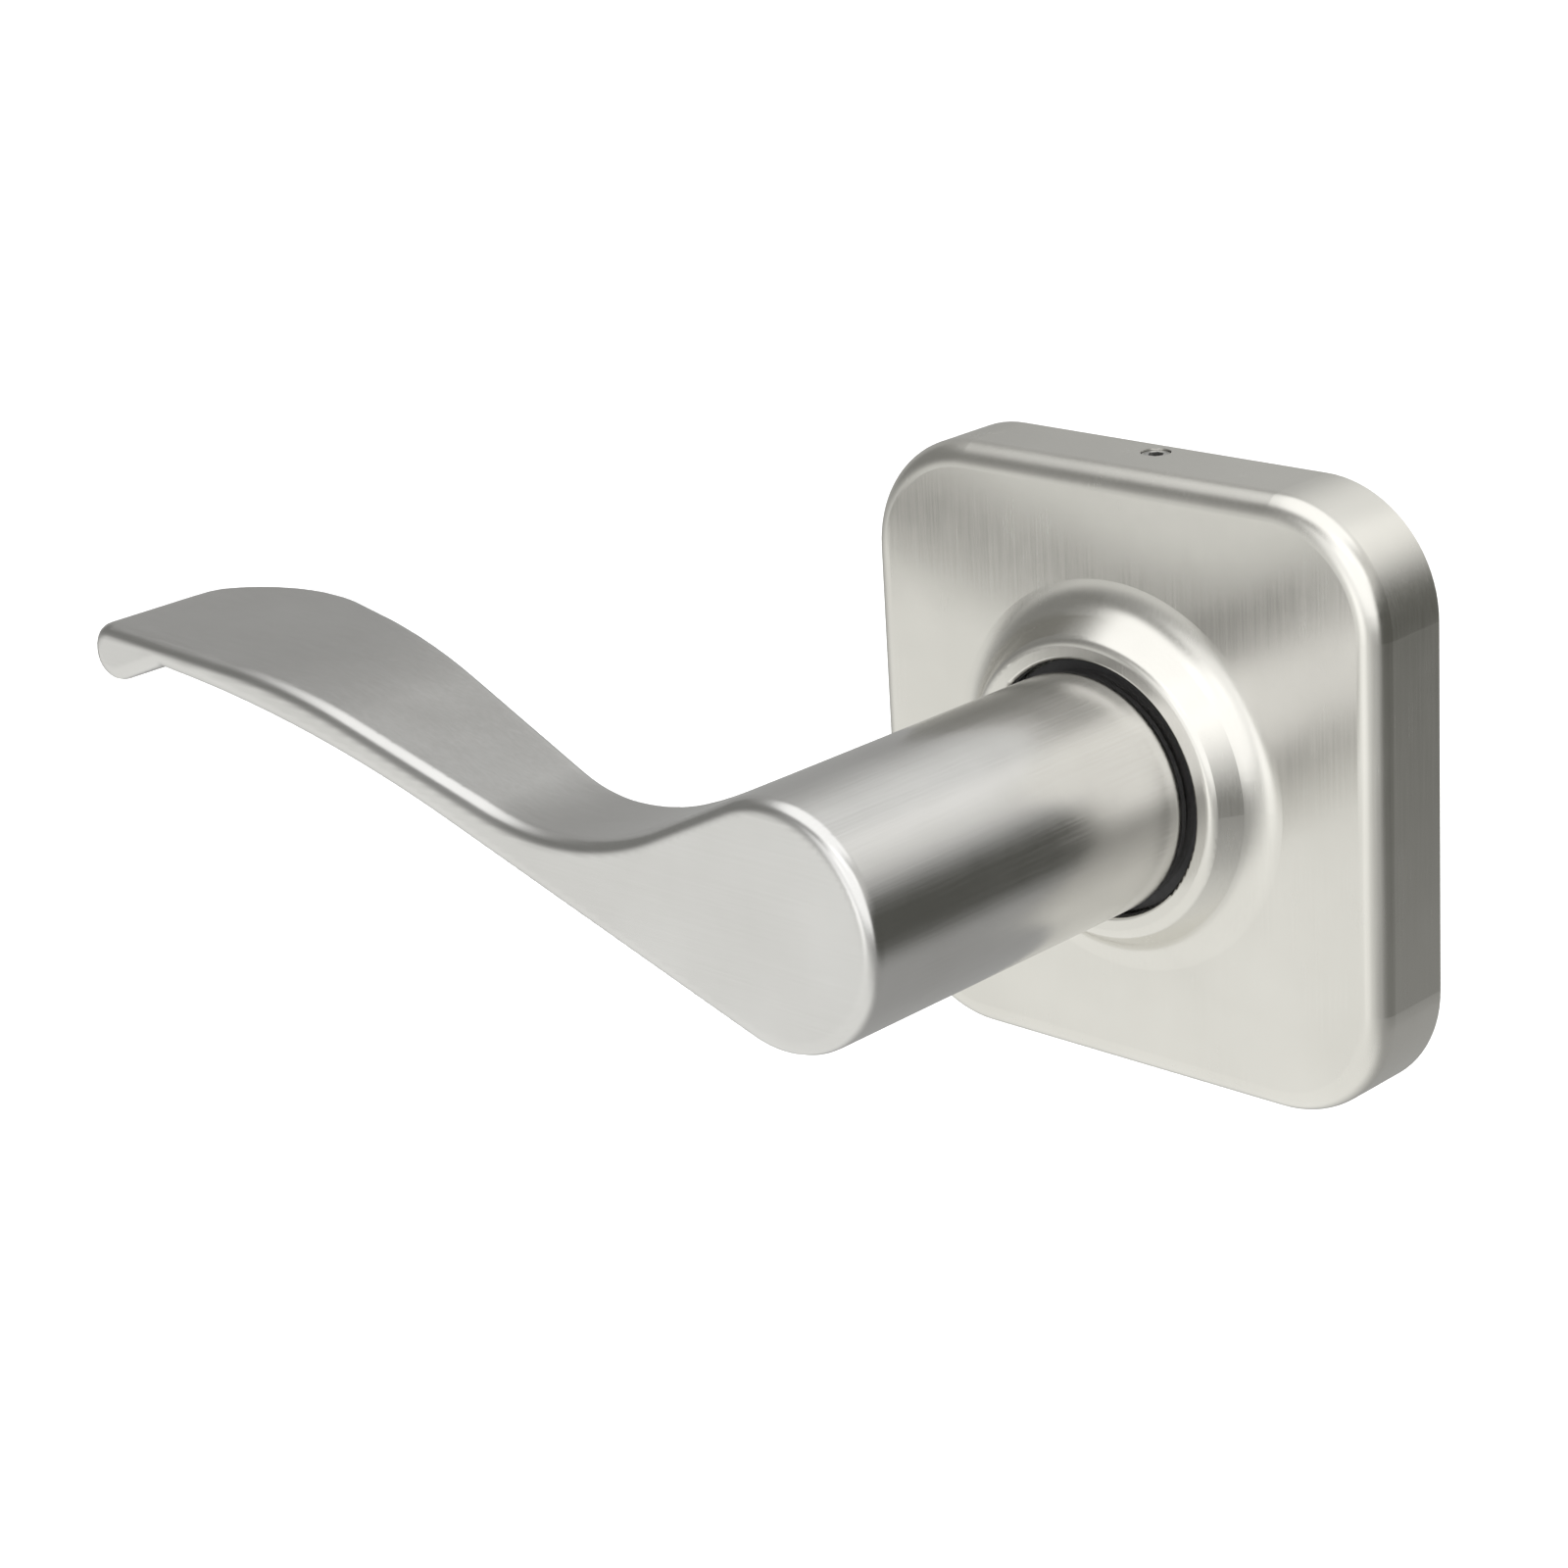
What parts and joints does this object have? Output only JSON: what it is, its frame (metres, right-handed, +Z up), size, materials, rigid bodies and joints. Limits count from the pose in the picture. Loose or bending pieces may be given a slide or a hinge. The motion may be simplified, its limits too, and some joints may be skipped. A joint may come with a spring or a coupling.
{
  "type": "door lever handle",
  "caption": "Sprung door lever on a raised square rose: round neck, flat curved blade with a rolled tip, square spindle and two fixing posts behind.",
  "frame": {"origin": "centre of the rose's back face, on the lever's turning axis and on the door's surface", "axes": "+Z up, -Y out of the door along the neck, -X along the lever blade towards its tip"},
  "size_m": [0.1365, 0.091, 0.066],
  "materials": {
    "satin_nickel": "satin brushed nickel plate over zinc alloy",
    "screw_steel": "zinc-plated screw steel",
    "zinc_plated_steel": "bright zinc plate on pressed steel",
    "acetal": "black acetal, moulded",
    "spring_steel": "oiled dark spring steel",
    "drive_steel": "machined and drawn steel, zinc plated"
  },
  "bodies": {
    "rose": {"rose_cover": "satin_nickel", "rose_set_screw": "screw_steel", "mounting_plate": "zinc_plated_steel", "spring_housing": "zinc_plated_steel", "housing_screw_1": "screw_steel", "housing_screw_2": "screw_steel", "housing_screw_3": "screw_steel", "housing_screw_4": "screw_steel", "front_bush": "acetal", "rear_bush": "acetal", "fixing_post_left": "zinc_plated_steel", "fixing_post_right": "zinc_plated_steel", "return_spring": "spring_steel"},
    "lever": {"lever_handle": "satin_nickel", "lever_set_screw": "screw_steel", "drive_hub": "drive_steel", "drive_cam": "zinc_plated_steel", "wave_washer": "spring_steel", "rear_washer": "zinc_plated_steel", "retaining_ring": "spring_steel", "spindle": "drive_steel", "spindle_pin": "drive_steel"}
  },
  "joints": [
    {"name": "lever_turn", "type": "hinge", "parent": "rose", "child": "lever", "pos_m": [0, 0, 0], "axis": [0, -1, 0], "range_deg": [0, 50], "stiffness_Nm_per_rad": 0.8, "springref_deg": -60.16, "deforming": ["return_spring"]}
  ]
}
